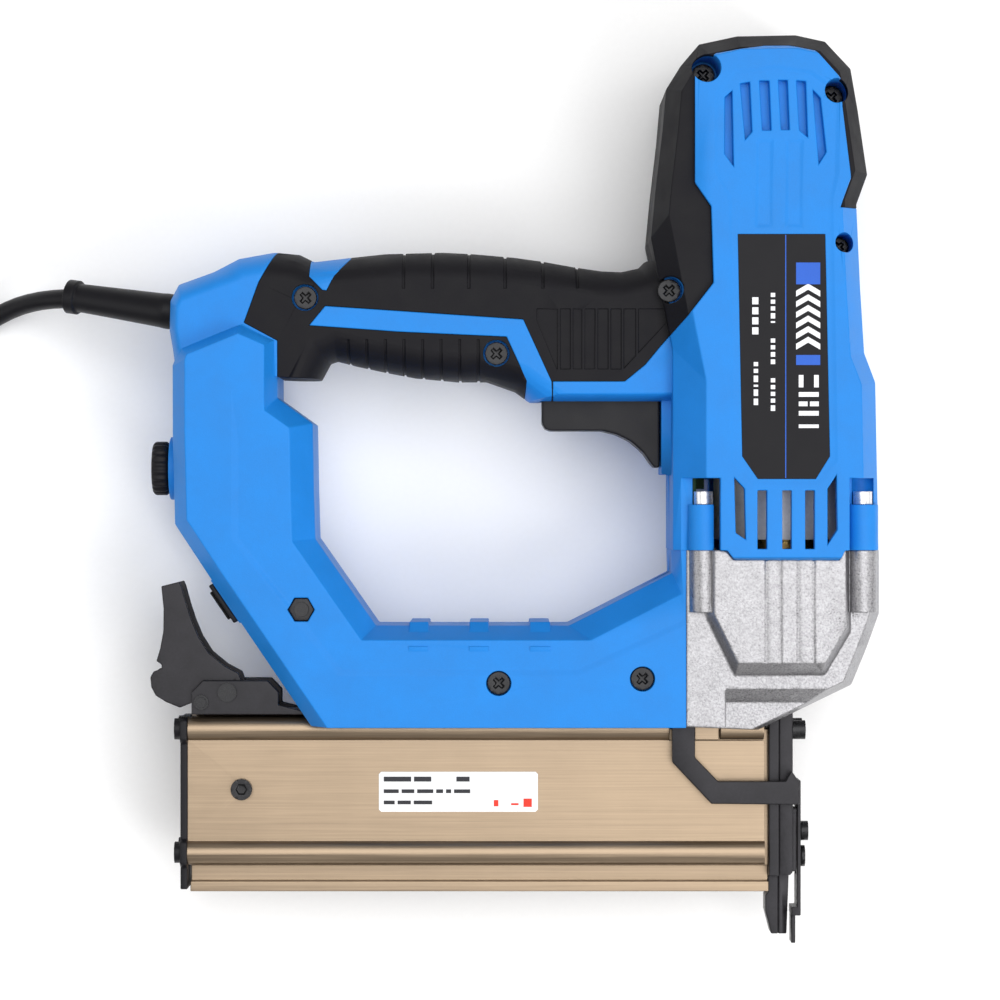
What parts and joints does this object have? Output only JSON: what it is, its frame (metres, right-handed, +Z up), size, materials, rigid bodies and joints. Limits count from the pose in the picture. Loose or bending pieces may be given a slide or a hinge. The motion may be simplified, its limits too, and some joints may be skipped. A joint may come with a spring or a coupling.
{
  "type": "electric brad nail gun",
  "caption": "Corded electric brad nailer lying on its side: D-handle housing, solenoid head, cast nose, side-release nail magazine, contact foot, trigger and coiled cord.",
  "frame": {"origin": "centre of the tool outline, without its cord, at the table it lies on", "axes": "+X from the cord end to the front of the tool along the magazine, +Y from the nose up to the top of the head, +Z up off the table, out of the right flank"},
  "size_m": [0.4359, 0.314, 0.072],
  "materials": {
    "blue_shell": "fine-textured moulded nylon",
    "black_grip": "matt soft-touch overmould",
    "cast_alloy": "grained die casting",
    "champagne_alloy": "brushed and anodised along the length",
    "black_steel": "black oxide",
    "zinc_steel": "bright zinc plate",
    "black_plastic": "moulded",
    "copper_wire": "enamelled wire",
    "guide_brass": "drawn",
    "bare_steel": "ground",
    "spring_steel": "drawn wire",
    "buffer_rubber": "moulded",
    "board_green": "solder mask",
    "capacitor_sleeve": "shrink sleeve",
    "label_black": null,
    "label_white": null,
    "cord_black": "matt sheath",
    "pin_nickel": "nickel plate"
  },
  "bodies": {
    "tool": {"body_bolt": "black_steel", "body_nut": "black_steel", "body_screws": "black_steel", "buffer_pad": "buffer_rubber", "capacitor": "capacitor_sleeve", "casting_bolts": "zinc_steel", "coil_bobbin": "black_plastic", "coil_winding": "copper_wire", "contact_foot_screws": "black_steel", "control_board": "board_green", "cord_clamp": "black_plastic", "cord_clamp_screws": "zinc_steel", "cord_coil": "cord_black", "cord_sleeve": "cord_black", "cord_tie": "cord_black", "dial_potentiometer": "black_plastic", "grip_cover_left": "black_grip", "grip_cover_right": "black_grip", "guide_tube": "guide_brass", "housing_left": "blue_shell", "housing_right": "blue_shell", "latch_bracket": "black_steel", "latch_pins": "zinc_steel", "latch_spring": "spring_steel", "magazine_track": "champagne_alloy", "nose_bolts": "black_steel", "nose_casting": "cast_alloy", "nose_plate_front": "black_steel", "nose_plate_rear": "black_steel", "nose_switch": "black_plastic", "plug": "cord_black", "plug_pins": "pin_nickel", "power_cord": "cord_black", "power_switch_body": "black_plastic", "pusher_spring": "spring_steel", "rating_labels": "label_black", "return_spring": "spring_steel", "safety_spring": "spring_steel", "solenoid_yoke": "bare_steel", "top_stop": "buffer_rubber", "trigger_spring": "spring_steel", "trigger_switch": "black_plastic"},
    "plunger": {"plunger": "bare_steel", "driver_blade": "bare_steel"},
    "trigger": {"trigger": "black_plastic"},
    "force_knob": {"force_knob": "black_plastic"},
    "power_rocker": {"power_rocker": "black_plastic"},
    "safety_contact": {"safety_arm": "black_steel", "contact_foot": "black_steel"},
    "magazine_cover": {"magazine_cover": "champagne_alloy", "magazine_end_cap": "black_steel", "magazine_screw": "black_steel", "magazine_label": "label_white"},
    "pusher": {"pusher": "bare_steel"},
    "latch_lever": {"latch_lever": "black_steel"}
  },
  "joints": [
    {"name": "plunger_stroke", "type": "slide", "parent": "tool", "child": "plunger", "axis": [0, -1, 0], "range_m": [0, 0.069], "stiffness_N_per_m": 150, "springref_m": -0.03, "deforming": ["return_spring"]},
    {"name": "trigger_pull", "type": "slide", "parent": "tool", "child": "trigger", "axis": [0, 1, 0], "range_m": [0, 0.006], "stiffness_N_per_m": 400, "springref_m": -0.003, "deforming": ["trigger_spring"]},
    {"name": "force_dial", "type": "hinge", "parent": "tool", "child": "force_knob", "pos_m": [-0.1208, 0.0072, 0.036], "axis": [-1, 0, 0], "range_deg": [-135, 135]},
    {"name": "power_rocker_tip", "type": "hinge", "parent": "tool", "child": "power_rocker", "pos_m": [-0.09897, -0.03814, 0.036], "axis": [0.5627, -0.8266, 0], "range_deg": [-14, 0]},
    {"name": "safety_press", "type": "slide", "parent": "tool", "child": "safety_contact", "axis": [0, 1, 0], "range_m": [0, 0.004], "stiffness_N_per_m": 400, "springref_m": -0.004, "deforming": ["safety_spring"]},
    {"name": "magazine_slide", "type": "slide", "parent": "tool", "child": "magazine_cover", "axis": [-1, 0, 0], "range_m": [0, 0.12]},
    {"name": "pusher_slide", "type": "slide", "parent": "tool", "child": "pusher", "axis": [-1, 0, 0], "range_m": [0, 0.105], "stiffness_N_per_m": 30, "springref_m": -0.03, "deforming": ["pusher_spring"]},
    {"name": "latch_swing", "type": "hinge", "parent": "tool", "child": "latch_lever", "pos_m": [-0.0998, -0.0706, 0.036], "axis": [0, 0, 1], "range_deg": [-12, 0], "stiffness_Nm_per_rad": 0.3, "springref_deg": 17.19, "deforming": ["latch_spring"]}
  ]
}
